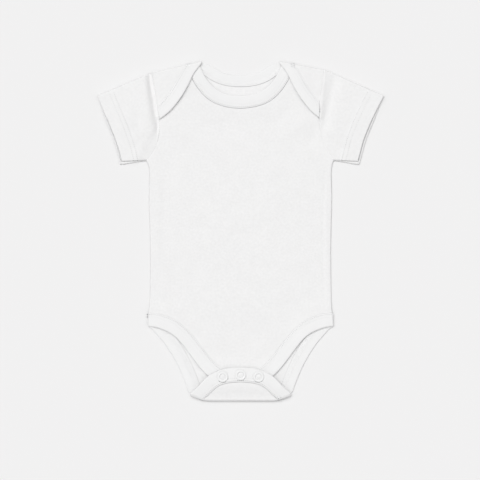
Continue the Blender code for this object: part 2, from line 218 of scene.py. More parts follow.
# armhole seam, side seam and cuff: height, reach on the left, reach on the right
ARMHOLE = ((78.0, 104.0, 102.6), (85.0, 98.0, 98.0), (95.0, 92.8, 92.4),
           (107.0, 89.6, 88.6), (121.0, 89.2, 86.2), (137.0, 90.8, 86.7),
           (154.0, 93.4, 88.1), (174.3, 97.6, 91.0))
SIDE = ((-90.0, 101.3, 100.9), (-76.0, 99.9, 99.9), (-21.0, 99.2, 99.2),
        (34.0, 100.6, 100.3), (62.0, 100.0, 99.9), (72.0, 101.2, 100.6),
        (77.7, 103.8, 102.4))
CUFF = ((149.0, 157.0, 157.4), (135.0, 151.5, 150.2), (118.7, 144.4, 142.5),
        (101.0, 137.4, 135.3), (88.0, 133.0, 131.6), (73.2, 129.6, 127.6))

# the bindings, a row for each section: folded edge x and y, seam x and y
BACK_NECK = ((0.0, 171.3, 0.0, 159.0), (9.0, 171.8, 9.5, 159.4),
             (18.4, 173.8, 20.5, 161.5), (26.0, 177.8, 31.0, 165.8),
             (33.0, 182.0, 40.5, 172.2), (38.5, 184.0, 50.0, 178.0))
LAP = ((51.2, 173.2, 63.6, 177.0), (54.8, 165.8, 66.9, 171.0),
       (58.9, 157.8, 70.7, 164.2), (64.3, 148.7, 75.5, 156.2),
       (71.2, 139.3, 81.7, 147.8), (78.8, 130.8, 87.6, 141.0),
       (88.9, 123.0, 91.2, 137.0))
BACK_LEG = ((101.2, -105.0, 100.6, -90.6), (97.0, -108.3, 89.5, -96.5),
            (91.3, -114.6, 80.6, -105.4), (83.3, -124.2, 71.9, -115.8),
            (75.2, -136.5, 63.1, -129.1), (69.1, -147.5, 56.4, -141.2),
            (63.9, -159.2, 50.8, -153.6), (60.2, -168.4, 46.8, -163.6),
            (57.6, -175.8, 43.6, -174.0))
FLAP = ((46.0, -169.8, 35.0, -179.6), (38.0, -161.3, 28.8, -173.4),
        (30.6, -156.2, 23.0, -169.4), (22.0, -152.5, 16.0, -167.0),
        (11.5, -150.2, 8.5, -165.9), (0.0, -149.7, 0.0, -165.3))


def ramp(value, start, end):
    """A soft step: 0 at start, 1 at end."""
    share = np.clip((value - start) / (end - start), 0.0, 1.0)
    return share * share * (3.0 - 2.0 * share)


def spaced(line, count):
    """A line again, as count points at equal distances along it."""
    line = np.asarray(line, float)
    steps = np.linalg.norm(np.diff(line[:, :2], axis=0), axis=1)
    along = np.concatenate([[0.0], np.cumsum(steps)])
    at = np.linspace(0.0, along[-1], count)
    return np.stack([np.interp(at, along, line[:, k]) for k in range(line.shape[1])], 1)


def smooth(points, count):
    """Evenly spaced points on a smooth curve through the given ones."""
    p = np.asarray(points, float)
    p = np.vstack([2 * p[0] - p[1], p, 2 * p[-1] - p[-2]])
    t = np.linspace(0.0, 1.0, 24, endpoint=False)[:, None]
    fine = [0.5 * (2 * b + (c - a) * t + (2 * a - 5 * b + 4 * c - d) * t ** 2
                   + (3 * b - a - 3 * c + d) * t ** 3)
            for a, b, c, d in zip(p, p[1:], p[2:], p[3:])]
    return spaced(np.vstack(fine + [p[-2:-1]]), count)


def shifted(line, distance):
    """A plan line moved to its left by a distance."""
    ahead = np.gradient(line, axis=0)
    ahead /= np.linalg.norm(ahead, axis=1)[:, None]
    return line + np.stack([-ahead[:, 1], ahead[:, 0]], 1) * distance


def edge(table, side):
    """The plan points of a table of reaches on one side, as positive x."""
    return [(row[1] if side == LEFT else row[2], row[0]) for row in table]


def reach_at(table, side, height):
    """How far a table's line lies from the middle at heights in plan."""
    line = smooth(edge(table, side), 200)
    return np.interp(height, line[:, 1], line[:, 0])


def strip_edges(rows, count):
    """Folded edge and seam of a table of strip sections, each as count points."""
    sections = smooth(rows, count)
    return sections[:, :2], sections[:, 2:]


def side_seam_distance(x, y):
    """Distance in from the side seams, or from the armholes above them."""
    result = np.zeros_like(x)
    for side in (LEFT, RIGHT):
        mine = np.sign(x) == side if side == LEFT else x >= 0
        body = reach_at(SIDE, side, y)
        arm = reach_at(ARMHOLE, side, y)
        result = np.where(mine, np.where(y < 78.0, body, arm) - np.abs(x), result)
    return result


def lap_floor(x):
    """Underside of the laps: on the front panel, and higher over the front neck binding."""
    low = 2.0 * (KNIT + GAP)
    return low + (2.0 * BINDING - 2.0 * KNIT) * (1.0 - ramp(x, 60.0, 84.0))


def flap_floor(y):
    """Underside of the crotch flap: low at the fold and over the snaps at its edge."""
    return FLAP_FLOOR_AT_FOLD + (FLAP_FLOOR - FLAP_FLOOR_AT_FOLD) * ramp(y, -184.0, -168.0)


def shoulder_axis(side, x):
    """Plan line that the shoulder fold turns about."""
    outline = FOLD_TOP - FOLD_DROP[side] * np.maximum(x - FOLD_NECK_END, 0.0)
    return outline - 0.5 * (lap_floor(x) + BINDING)


def crotch_axis(x):
    """Plan line that the crotch fold turns about."""
    share = np.maximum(x - CROTCH_CORNER_START, 0.0) / CROTCH_CORNER_REACH
    outline = CROTCH_FOLD + CROTCH_CORNER_RISE * share ** 2
    return outline + 0.5 * (FLAP_FLOOR_AT_FOLD + BINDING)


def meet_fold(plan, axis, first):
    """Moves the rows beside a fold so that the first or the last lies on its axis."""
    row = plan[0 if first else -1]
    count = np.arange(len(plan))
    fade = np.clip(1.0 - (count if first else count[::-1]) / 8.0, 0.0, 1.0)
    plan[..., 1] += fade[:, None] * (axis(row[:, 0]) - row[:, 1])
    return plan


def armhole_below(side, top, count):
    """The armhole seam from the underarm up to a fold's axis."""
    line = smooth(edge(ARMHOLE, side), 200)
    line = line[line[:, 1] < top(line[:, 0]) - 0.4]
    return spaced(np.vstack([line, [line[-1, 0], float(top(line[-1, 0]))]]), count)


def crossing(xs, axis):
    """Section of a binding where it starts round a fold."""
    return (xs[0], float(axis(xs[0])), xs[1], float(axis(xs[1])))


def across(outer, inner):
    """Rows of plan points from outer edges to inner ones, close together at the outer."""
    outer, inner = np.asarray(outer), np.asarray(inner)
    length = np.maximum(np.linalg.norm(outer - inner, axis=1), 0.01)
    near = np.array(EDGE_COLUMNS)[None, :] / length[:, None]
    near = near * np.minimum(1.0, 0.4 / near[:, :1])
    wide = np.linspace(1.0, 0.0, COLUMNS, endpoint=False)
    far = near[:, :1] + (1.0 - near[:, :1]) * wide[None, :]
    share = np.concatenate([far, near], axis=1)[:, ::-1]
    return outer[:, None, :] * (1 - share[..., None]) + inner[:, None, :] * share[..., None]


def raised(plan, height):
    """Plan points with a height for each."""
    return np.concatenate([plan, np.broadcast_to(height, plan.shape[:2])[..., None]], axis=2)


def turned(plan_x, axis, radius, direction, steps=FOLD_STEPS):
    """Rows round a fold, from the lower layer to the upper one, about the fold's axis."""
    angle = np.linspace(0.0, math.pi, steps + 2)[1:-1, None]
    y = axis(plan_x)[None, :] + direction * radius(plan_x)[None, :] * np.sin(angle)
    z = radius(plan_x)[None, :] * (1.0 - np.cos(angle))
    return np.stack([np.broadcast_to(plan_x, y.shape), y, z], 2)


def mesh_of_grids(name, grids, closed=False):
    """A mesh through grids of points in millimetres, joined where they meet."""
    points, faces, start = [], [], 0
    for grid, flip in grids:
        rows, columns = grid.shape[:2]
        index = start + np.arange(rows * columns).reshape(rows, columns)
        if closed:
            index = np.concatenate([index, index[:, :1]], axis=1)
        quads = np.stack([index[:-1, :-1], index[:-1, 1:], index[1:, 1:], index[1:, :-1]], -1)
        quads = quads.reshape(-1, 4)
        faces.extend((quads[:, ::-1] if flip else quads).tolist())
        points.append(grid.reshape(-1, 3))
        start += rows * columns
    mesh = bpy.data.meshes.new(name)
    mesh.from_pydata((np.vstack(points) * MM).tolist(), [], faces)
    return mesh


def join_halves(mesh):
    """Merges the two halves of a panel along its middle."""
    work = bmesh.new()
    work.from_mesh(mesh)
    bmesh.ops.remove_doubles(work, verts=work.verts, dist=0.02 * MM)
    work.to_mesh(mesh)
    work.free()


def add_piece(name, mesh, material, slot, *nodes):
    """A finished piece of the garment that stands for CAD nodes."""
    mesh.materials.append(material)
    mesh.shade_smooth()
    piece = bpy.data.objects.new(name, mesh)
    scene.collection.objects.link(piece)
    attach(piece, "root")
    if nodes:
        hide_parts(*nodes)
    return piece


def give_wall(piece, thickness):
    """Thickens an outer surface inwards and keeps the result as a plain mesh."""
    wall = piece.modifiers.new("wall", "SOLIDIFY")
    wall.thickness = thickness * MM
    wall.offset = -1.0
    bake_modifiers(piece)


def bake_modifiers(piece):
    """Replaces a piece's mesh with what its modifiers make of it."""
    seen = piece.evaluated_get(bpy.context.evaluated_depsgraph_get())
    made = bpy.data.meshes.new_from_object(seen)
    piece.modifiers.clear()
    piece.data = made


def interlock_material(name, tone):
    """White cotton interlock: fine wales and courses, soft nap, faint uneven tone."""
    material, tree, shader = new_material(name, 0.92, Sheen_Weight=0.12, Sheen_Roughness=0.5)
    place = add_node(tree, "ShaderNodeTexCoord", outlet=3)
    split = add_node(tree, "ShaderNodeSeparateXYZ", Vector=place)
    x, y = split, Wire(tree, split.link.node.outputs[1])
    slanted = y + x.wave(1.25 * MM) * (0.25 * MM)
    loops = x.wave(1.25 * MM).size() * 0.6 + slanted.wave(1.0 * MM) * 0.3
    cloud = add_node(tree, "ShaderNodeTexNoise", Vector=place, Scale=60.0, Detail=5.0,
                     Roughness=0.68)
    fuzz = add_node(tree, "ShaderNodeTexNoise", Vector=place, Scale=420.0, Detail=3.0)
    two_tones(tree, shader, cloud * 0.40 + fuzz * 0.75 - 0.08,
              (tone - 0.072, tone - 0.075, tone - 0.075),
              (tone + 0.070, tone + 0.067, tone + 0.067))
    bump = add_node(tree, "ShaderNodeBump", Strength=0.3, Distance=0.12 * MM,
                    Height=loops + fuzz * 0.8)
    plug(tree, shader.inputs["Normal"], bump)
    return material


interlock = interlock_material("interlock", CLOTH_TONE)


def back_grid(side):
    """Outer surface of the back panel's half: flap, crotch fold, body, shoulder fold, lap."""
    seam_gap = 0.30
    flap_seam = strip_edges([crossing(CROTCH_CROSSING, crotch_axis)] + list(FLAP), 30)[1]
    arch = shifted(flap_seam, seam_gap)[::-1][1:]
    arch[-1] = (CROTCH_CROSSING[1] - seam_gap, crotch_axis(CROTCH_CROSSING[1]))
    middle_y = np.linspace(FLAP[-1][3] - seam_gap, crotch_axis(0.0), len(arch))
    middle = np.stack([np.zeros(len(arch)), middle_y], 1)
    flap = meet_fold(across(arch, middle), crotch_axis, False)
    flap = raised(flap, flap_floor(flap[..., 1]) + KNIT)

    leg = shifted(strip_edges(list(BACK_LEG) + [crossing(CROTCH_CROSSING, crotch_axis)], 60)[1],
                  -PRESSED_GAP)[::-1]
    sides = smooth(edge(SIDE, side), 60)
    axis = lambda x: shoulder_axis(side, x)
    armhole = armhole_below(side, axis, 60)
    neck = shifted(strip_edges(list(BACK_NECK) + [crossing(SHOULDER_CROSSING, axis)], 50)[1],
                   -0.12)
    neck[0, 0] = 0.0
    outer = np.vstack([leg, sides[1:], armhole[1:]])
    rise = len(outer) - len(neck) + 1
    middle = np.stack([np.zeros(rise), np.linspace(crotch_axis(0.0), neck[0, 1], rise)], 1)
    body = across(outer, np.vstack([middle, neck[1:]]))
    body = meet_fold(meet_fold(body, crotch_axis, True), axis, False)
    away = side_seam_distance(side * body[..., 0], body[..., 1])
    below_arm = ramp(-body[..., 1], -80.0, -74.0) * ramp(body[..., 1], -96.0, -90.0)
    roll = 1.0 - np.sqrt(1.0 - np.clip(1.0 - away / 1.8, 0.0, 1.0) ** 2)
    body = raised(body, 0.9 * roll * below_arm)

    crotch = turned(body[0, :, 0], crotch_axis,
                    lambda x: np.full_like(x, 0.5 * (FLAP_FLOOR_AT_FOLD + KNIT)), -1)[::-1]
    shoulder = turned(body[-1, :, 0], axis, lambda x: 0.5 * (lap_floor(x) + KNIT), 1)

    free, seam = strip_edges([crossing(SHOULDER_CROSSING, axis)] + list(LAP), 60)
    seam = shifted(seam, PRESSED_GAP)
    seam = seam[reach_at(ARMHOLE, side, seam[:, 1]) - seam[:, 0] > 0.12]
    side_edge = armhole[::-1][armhole[::-1][:, 1] > seam[-1, 1] + 0.05]
    side_edge = spaced(side_edge, len(seam))
    lap = meet_fold(across(side_edge, seam), axis, True)
    valley = np.exp(-((reach_at(ARMHOLE, side, lap[..., 1]) - lap[..., 0]) / 1.1) ** 2)
    lap = raised(lap, lap_floor(lap[..., 0]) + KNIT - 0.3 * valley)
    sheet = np.concatenate([flap, crotch, body, shoulder, lap])
    return sheet * np.array([side, 1.0, 1.0]), side == LEFT


back_mesh = mesh_of_grids("back_panel_cloth", [back_grid(LEFT), back_grid(RIGHT)])
join_halves(back_mesh)
back = add_piece("back_panel_cloth", back_mesh, interlock, "interlock", "back_panel")
give_wall(back, SHELL)

# ---------------------------------------------------------------------------------------
# The front panel: one cut of the same interlock, from the shoulders down to a short tab
# that carries the studs. It lies on the back and is a little puffed over it.

FRONT_NECK = ((0.0, 148.9, 0.0, 135.0), (8.0, 149.5, 9.5, 135.8),
              (16.0, 151.0, 19.0, 137.7), (23.5, 154.2, 29.0, 141.4),
              (30.5, 159.6, 38.0, 147.4), (36.6, 166.5, 45.6, 155.8),
              (41.0, 174.0, 52.0, 165.8), (45.6, 183.4, 58.6, 180.3))
FRONT_LEG = ((101.8, -104.4, 101.2, -89.8), (91.0, -106.2, 88.0, -91.2),
             (79.0, -111.0, 72.5, -97.2), (71.0, -116.6, 61.5, -105.5),
             (64.0, -124.2, 53.0, -114.4), (58.0, -132.2, 46.4, -122.6),
             (47.0, -147.0, 36.0, -136.0), (40.5, -154.5, 30.4, -142.6),
             (35.2, -159.3, 26.0, -146.8), (29.0, -163.2, 20.6, -150.6),
             (20.0, -165.4, 14.0, -152.4), (10.0, -166.2, 7.0, -153.0),
             (0.0, -166.4, 0.0, -153.2))

# soft creases: x, y of the middle, heading in degrees, length, width, height (troughs < 0)
FRONT_CREASES = (
    (-80.0, 90.0, -62.0, 60.0, 11.0, -0.55), (-69.0, 113.0, -38.0, 44.0, 11.0, 0.75),
    (81.0, 106.0, -112.0, 44.0, 8.0, -0.65), (60.0, 113.0, 36.0, 46.0, 11.0, 0.60),
    (-46.0, 122.0, -52.0, 40.0, 9.0, -0.35), (47.0, 128.0, -124.0, 34.0, 9.0, -0.45),
    (-4.0, 118.0, 4.0, 110.0, 26.0, -0.70), (-40.0, 3.0, -5.0, 62.0, 6.0, -0.30),
    (34.0, 52.0, -158.0, 80.0, 14.0, -0.30), (12.0, 18.0, 12.0, 96.0, 18.0, 0.32),
    (-62.0, -50.0, 30.0, 56.0, 11.0, -0.34), (44.0, -46.0, -22.0, 70.0, 12.0, -0.30),
    (-8.0, -66.0, 78.0, 64.0, 13.0, 0.30), (68.0, -70.0, 128.0, 44.0, 9.0, -0.32),
    (-10.0, -84.0, -4.0, 150.0, 36.0, 0.75), (62.0, -88.0, 150.0, 60.0, 12.0, -0.35),
    (-22.0, -112.0, 76.0, 44.0, 8.0, 0.26),
    (20.0, -108.0, 104.0, 40.0, 9.0, -0.26), (-91.0, 10.0, 90.0, 150.0, 6.0, 0.36),
    (94.6, -6.0, 90.0, 190.0, 3.4, 0.40), (91.0, -6.0, 90.0, 190.0, 2.6, -0.45),
    (-84.0, 30.0, 88.0, 70.0, 5.0, -0.22),
)


def creased(x, y, creases):
    """Height that soft troughs and ridges add: round across, fading to their ends."""
    total = np.zeros_like(x)
    for centre_x, centre_y, heading, length, width, height in creases:
        turn = math.radians(heading)
        along = (x - centre_x) * math.cos(turn) + (y - centre_y) * math.sin(turn)
        aside = (y - centre_y) * math.cos(turn) - (x - centre_x) * math.sin(turn)
        aside = aside + 0.06 * along ** 2 / length
        fade = ramp(length / 2 - np.abs(along), 0.0, length / 3)
        total += height * np.exp(-(aside / (0.6 * width)) ** 2) * fade
    return total


def front_floor(x, y):
    """Underside of the front's layers: it lies on the back and over the back's bindings."""
    x = np.abs(x)
    over_back_neck = ramp(y, 150.0, 164.0) * (1.0 - ramp(x, 66.0, 84.0))
    over_back_leg = ramp(x, 54.0, 68.0) * ramp(-y, 74.0, 86.0)
    over_snaps = ramp(-y, 138.0, 151.0)
    puff = PUFF * (1.0 - ramp(x, 20.0, 95.0)) * ramp(-np.abs(y - 10.0), -120.0, -20.0)
    step = (BINDING - KNIT) * np.maximum(over_back_neck, over_back_leg)
    return KNIT + GAP + puff + np.maximum(step, (TAB_FLOOR - KNIT - GAP) * over_snaps)


def front_grid(side):
    """Top surface of the front panel's half, from the snap tab up to the shoulder."""
    seam_gap = 0.35
    leg = shifted(strip_edges(FRONT_LEG[:-2], 70)[1], -PRESSED_GAP)[::-1]
    sides = smooth(edge(SIDE, side), 70)
    armhole = armhole_below(side, lambda x: shoulder_axis(side, x) - 0.4, 70)
    neck = shifted(strip_edges(FRONT_NECK, 60)[1], -seam_gap)
    neck[0, 0] = 0.0
    tab_end = FRONT_LEG[-1][3] + seam_gap
    leg[0, 1] = tab_end + 0.6
    outer = np.vstack([leg, sides[1:], armhole[1:]])
    rise = len(outer) - len(neck) + 1
    middle = np.stack([np.zeros(rise), np.linspace(tab_end, neck[0, 1], rise)], 1)
    plan = across(outer, np.vstack([middle, neck[1:]]))
    x, y = side * plan[..., 0], plan[..., 1]
    away = side_seam_distance(x, y)
    below_arm = ramp(-y, -80.0, -74.0) * ramp(y, -96.0, -90.0)
    roll = 1.0 - np.sqrt(1.0 - np.clip(1.0 - away / 2.2, 0.0, 1.0) ** 2)
    seam = ramp(y, 74.0, 80.0) * np.exp(-(away / 1.1) ** 2)
    height = front_floor(x, y) + KNIT + creased(x, y, FRONT_CREASES)
    height += -1.0 * roll * below_arm - 0.2 * seam
    sheet = raised(plan, height)
    return sheet * np.array([side, 1.0, 1.0]), side == RIGHT


front_mesh = mesh_of_grids("front_panel_cloth", [front_grid(LEFT), front_grid(RIGHT)])
join_halves(front_mesh)
front = add_piece("front_panel_cloth", front_mesh, interlock, "interlock", "front_panel")
give_wall(front, SHELL)

# ---------------------------------------------------------------------------------------
# The bindings: strips of white rib, folded over each cut edge and coverstitched. One goes
# round the front neck, one round the back neck and both laps, and two round the legs.


def rib_material(name, tone):
    """White cotton rib: close ribs across the strip, soft nap, faint uneven tone."""
    material, tree, shader = new_material(name, 0.9, Sheen_Weight=0.12, Sheen_Roughness=0.5)
    run = add_node(tree, "ShaderNodeUVMap", {"uv_map": "cloth"})
    split = add_node(tree, "ShaderNodeSeparateXYZ", Vector=run)
    along = Wire(tree, split.link.node.outputs[1])
    place = add_node(tree, "ShaderNodeTexCoord", outlet=3)
    fuzz = add_node(tree, "ShaderNodeTexNoise", Vector=place, Scale=600.0, Detail=3.0)
    cloud = add_node(tree, "ShaderNodeTexNoise", Vector=place, Scale=90.0, Detail=3.0)
    ribs = along.wave(1.5 * MM).size() * 0.7 + split.wave(1.1 * MM) * 0.15
    two_tones(tree, shader, cloud * 0.6 + fuzz * 0.4,
              (tone - 0.03, tone - 0.031, tone - 0.031), (tone + 0.03, tone + 0.029, tone + 0.03))
    bump = add_node(tree, "ShaderNodeBump", Strength=0.3, Distance=0.14 * MM,
                    Height=ribs + fuzz * 0.7)
    plug(tree, shader.inputs["Normal"], bump)
    return material


rib = rib_material("rib", RIB_TONE)

NEEDLE_ROWS = (4.4, 1.65)
SNAPS = ((-19.7, -159.6), (0.0, -157.6), (19.7, -159.6))


class Strip:
    """A folded binding: points of its folded edge and seam, and the way into the cloth."""

    def __init__(self, free, seam, inward):
        self.free, self.seam, self.inward = free, seam, inward

    @staticmethod
    def flat(free, seam, height, inward, edge_height=None):
        """A stretch that lies flat, with its outer face up (inward -1) or down (+1)."""
        free = np.column_stack([free, (edge_height or height)(free)])
        seam = np.column_stack([seam, height(seam)])
        return Strip(free, seam, np.tile([0.0, 0.0, float(inward)], (len(free), 1)))

    @staticmethod
    def round_fold(xs, axis, radius, direction):
        """The stretch round a fold, from its lower layer to its upper one."""
        rows = turned(np.array(xs), axis, radius, direction)
        angle = np.linspace(0.0, math.pi, FOLD_STEPS + 2)[1:-1]
        way = np.stack([0 * angle, -direction * np.sin(angle), np.cos(angle)], 1)
        return Strip(rows[:, 0], rows[:, 1], way)

    def mirrored(self):
        turn = np.array([-1.0, 1.0, 1.0])
        return Strip(self.free[::-1] * turn, self.seam[::-1] * turn, self.inward[::-1] * turn)

    def __add__(self, other):
        return Strip(*(np.vstack(pair) for pair in zip(
            (self.free, self.seam, self.inward), (other.free, other.seam, other.inward))))

    def line(self, from_seam, depth):
        """Points along the strip at a distance from its seam and a depth into the cloth."""
        way = self.free - self.seam
        width = np.linalg.norm(way, axis=1)[:, None]
        return self.seam + way / width * from_seam + self.inward * depth

    def width(self):
        return np.linalg.norm(self.free - self.seam, axis=1)


def strip_surface(strip, thickness):
    """The strip's closed section, swept: rounded fold, needle grooves, pressed seam edge."""
    width = strip.width()[:, None]
    shares = np.concatenate([[0.0, 0.005, 0.022, 0.05, 0.09, 0.13],
                             np.linspace(0.17, 0.955, 15), [0.98, 0.995, 1.0]])[None, :]
    inset = shares * width
    from_seam = width - inset
    round_edge = np.clip(1.0 - inset / 2.0, 0.0, 1.0)
    top = 0.5 * thickness * (1.0 - np.sqrt(1.0 - round_edge ** 2))
    for row in NEEDLE_ROWS:
        top = top + 0.05 * np.exp(-((from_seam - row) / 0.6) ** 2)
    top = top + 0.35 * np.exp(-(from_seam / 0.7) ** 2) - 0.12 * np.sin(math.pi * shares)
    bottom = thickness - 0.5 * thickness * (1.0 - np.sqrt(1.0 - round_edge ** 2))
    way = (strip.seam - strip.free)[:, None, :] / width[..., None]

    def placed(depth):
        return (strip.free[:, None, :] + way * inset[..., None]
                + strip.inward[:, None, :] * depth[..., None])

    rings = np.concatenate([placed(top), placed(bottom)[:, ::-1]], axis=1)
    across_run = np.concatenate([inset, 2 * width - inset[:, ::-1]], axis=1)
    return rings, across_run


def add_strip(name, node, strip, thickness, shape=None):
    """A binding's finished piece, with its run across and along kept as a UV map."""
    rings, across_run = strip_surface(strip, thickness)
    if shape:
        rings = shape(rings)
    count, loop = rings.shape[:2]
    mesh = mesh_of_grids(name, [(rings, False)], closed=True)
    work = bmesh.new()
    work.from_mesh(mesh)
    work.verts.ensure_lookup_table()
    for first in (0, (count - 1) * loop):
        corners = [work.verts[first + k] for k in range(loop)]
        half = loop // 2
        for k in range(half - 1):
            work.faces.new((corners[k], corners[k + 1], corners[loop - 2 - k],
                            corners[loop - 1 - k]))
    bmesh.ops.recalc_face_normals(work, faces=work.faces)
    work.to_mesh(mesh)
    work.free()
    middle = 0.5 * (strip.free + strip.seam)
    along = np.concatenate([[0.0], np.cumsum(np.linalg.norm(np.diff(middle, axis=0), axis=1))])
    run = np.stack([across_run, np.broadcast_to(along[:, None], across_run.shape)], 2)
    run = run.reshape(-1, 2) * MM
    layer = mesh.uv_layers.new(name="cloth")
    corner = np.zeros(len(mesh.loops), int)
    mesh.loops.foreach_get("vertex_index", corner)
    layer.data.foreach_set("uv", run[corner].ravel())
    return add_piece(name, mesh, rib, "rib", node)


def front_height(line):
    return front_floor(line[:, 0], line[:, 1]) + BINDING


def front_edge_height(line):
    """The leg's folded edge stands a little off the back, but not at the side or the tab."""
    x, y = line[:, 0], line[:, 1]
    return front_height(line) + 0.9 * (1.0 - ramp(x, 92.0, 101.0)) * ramp(y, -150.0, -138.0)


def lap_height(line):
    return lap_floor(line[:, 0]) + BINDING


def lap_edge_height(line):
    """The lap's folded edge stands off the front, most near its lower end."""
    x = line[:, 0]
    return lap_height(line) + 0.35 * ramp(x, 44.0, 50.0) + 0.75 * ramp(x, 54.0, 76.0) * (
        1.0 - 0.7 * ramp(x, 82.0, 90.0))


def flap_height(line):
    return flap_floor(line[:, 1]) + BINDING


def ground(line):
    return np.zeros(len(line))


# front neck: from shoulder to shoulder
half = Strip.flat(*strip_edges(FRONT_NECK, 110), front_height, -1)
front_neck = half.mirrored() + half
piece = add_strip("front_neck_binding_cloth", "front_neck_binding", front_neck, BINDING)

# front leg: from side seam to side seam round the tab
half = Strip.flat(*strip_edges(FRONT_LEG, 170), front_height, -1, front_edge_height)
front_leg = half + half.mirrored()
piece = add_strip("front_leg_binding_cloth", "front_leg_binding", front_leg, BINDING)


def back_neck_half(side):
    """Back neck, shoulder fold and lap of one side, from the middle out."""
    axis = lambda x: shoulder_axis(side, x)
    start = crossing(SHOULDER_CROSSING, axis)
    neck = Strip.flat(*strip_edges(list(BACK_NECK) + [start], 70), ground, 1)
    fold = Strip.round_fold(SHOULDER_CROSSING, axis, lambda x: 0.5 * (lap_floor(x) + BINDING), 1)
    free, seam = strip_edges([start] + list(LAP), 90)
    for line in (free, seam):
        line[:, 0] = np.minimum(line[:, 0], reach_at(ARMHOLE, side, line[:, 1]) - 0.02)
    return neck + fold + Strip.flat(free, seam, lap_height, -1, lap_edge_height)


back_neck = back_neck_half(LEFT).mirrored() + back_neck_half(RIGHT)
piece = add_strip("back_neck_binding_cloth", "back_neck_binding", back_neck, BINDING)


def pressed_by_snaps(rings):
    """The binding bulges a little through each open snap ring and sinks under the ring."""
    for x, y in SNAPS:
        away = np.hypot(rings[..., 0] - x, rings[..., 1] - y)
        upper = rings[..., 2] > FLAP_FLOOR + 0.6 * BINDING
        rings[..., 2] += np.where(upper, 0.75 * np.exp(-(away / 2.3) ** 2), 0.0)
        sunk = np.exp(-((away - 6.1) / 0.7) ** 2) + 0.8 * np.exp(-((away - 3.0) / 0.6) ** 2)
        rings[..., 2] -= np.where(upper, 0.55 * sunk, 0.0)
    return rings


start = crossing(CROTCH_CROSSING, crotch_axis)
leg = Strip.flat(*strip_edges(list(BACK_LEG) + [start], 110), ground, 1)
fold = Strip.round_fold(CROTCH_CROSSING, crotch_axis,
                        lambda x: np.full_like(x, 0.5 * (FLAP_FLOOR_AT_FOLD + BINDING)), -1)
flap = Strip.flat(*strip_edges([start] + list(FLAP), 90), flap_height, -1)
half = leg + fold + flap
back_leg = half + half.mirrored()
piece = add_strip("back_leg_binding_cloth", "back_leg_binding", back_leg, BINDING,
                  pressed_by_snaps)

# ---------------------------------------------------------------------------------------
# The sleeves: one cut each, closed under the arm into a flat tube, with a turned hem. The
# lower layer shows a little past the upper one at the cuff and under the arm.

SLEEVE_WALL_STEPS = 62
SLEEVE_END_STEPS = 8
SLEEVE_RINGS = 64
HEM = 18.4
HEM_ROWS = (13.2, 17.6)
CUFF_STEP = 2.6
HEM_SUNK = 0.38

# thickness of the flat tube beyond the armhole: share of its length, thickness
SLEEVE_THICKNESS = ((0.0, 3.4), (0.14, 3.6), (0.34, 4.1), (0.56, 3.8), (0.8, 3.7), (1.0, 3.6))
SLEEVE_CREASES = {
    LEFT: ((-93.2, 144.0, 98.0, 108.0, 8.4, -3.3), (-96.5, 168.0, 98.0, 52.0, 7.0, -1.4),
           (-104.5, 148.0, 98.0, 104.0, 11.0, 2.2), (-124.0, 124.0, 66.0, 58.0, 14.0, 0.45),
           (-111.0, 98.0, 40.0, 34.0, 8.0, -0.45)),
    RIGHT: ((99.0, 143.0, 80.0, 92.0, 8.0, -1.9), (91.5, 150.0, 84.0, 60.0, 3.4, 0.7),
            (94.0, 122.0, 74.0, 34.0, 6.0, -0.8),
            (112.0, 146.0, 96.0, 56.0, 12.0, 0.30), (122.0, 122.0, 112.0, 52.0, 11.0, 0.25),
            (110.0, 96.0, 138.0, 34.0, 8.0, -0.40)),
}

# section at the underarm, from the upper layer round to the lower: the seam has rolled
# on to the top, so the lower layer shows below it. Distance in from the edge, height share
UNDERARM = ((4.6, 1.0), (4.1, 0.96), (3.85, 0.82), (3.75, 0.56), (3.3, 0.36), (2.3, 0.50),
            (1.2, 0.55), (0.35, 0.42), (0.0, 0.25), (0.15, 0.10), (0.6, 0.0))


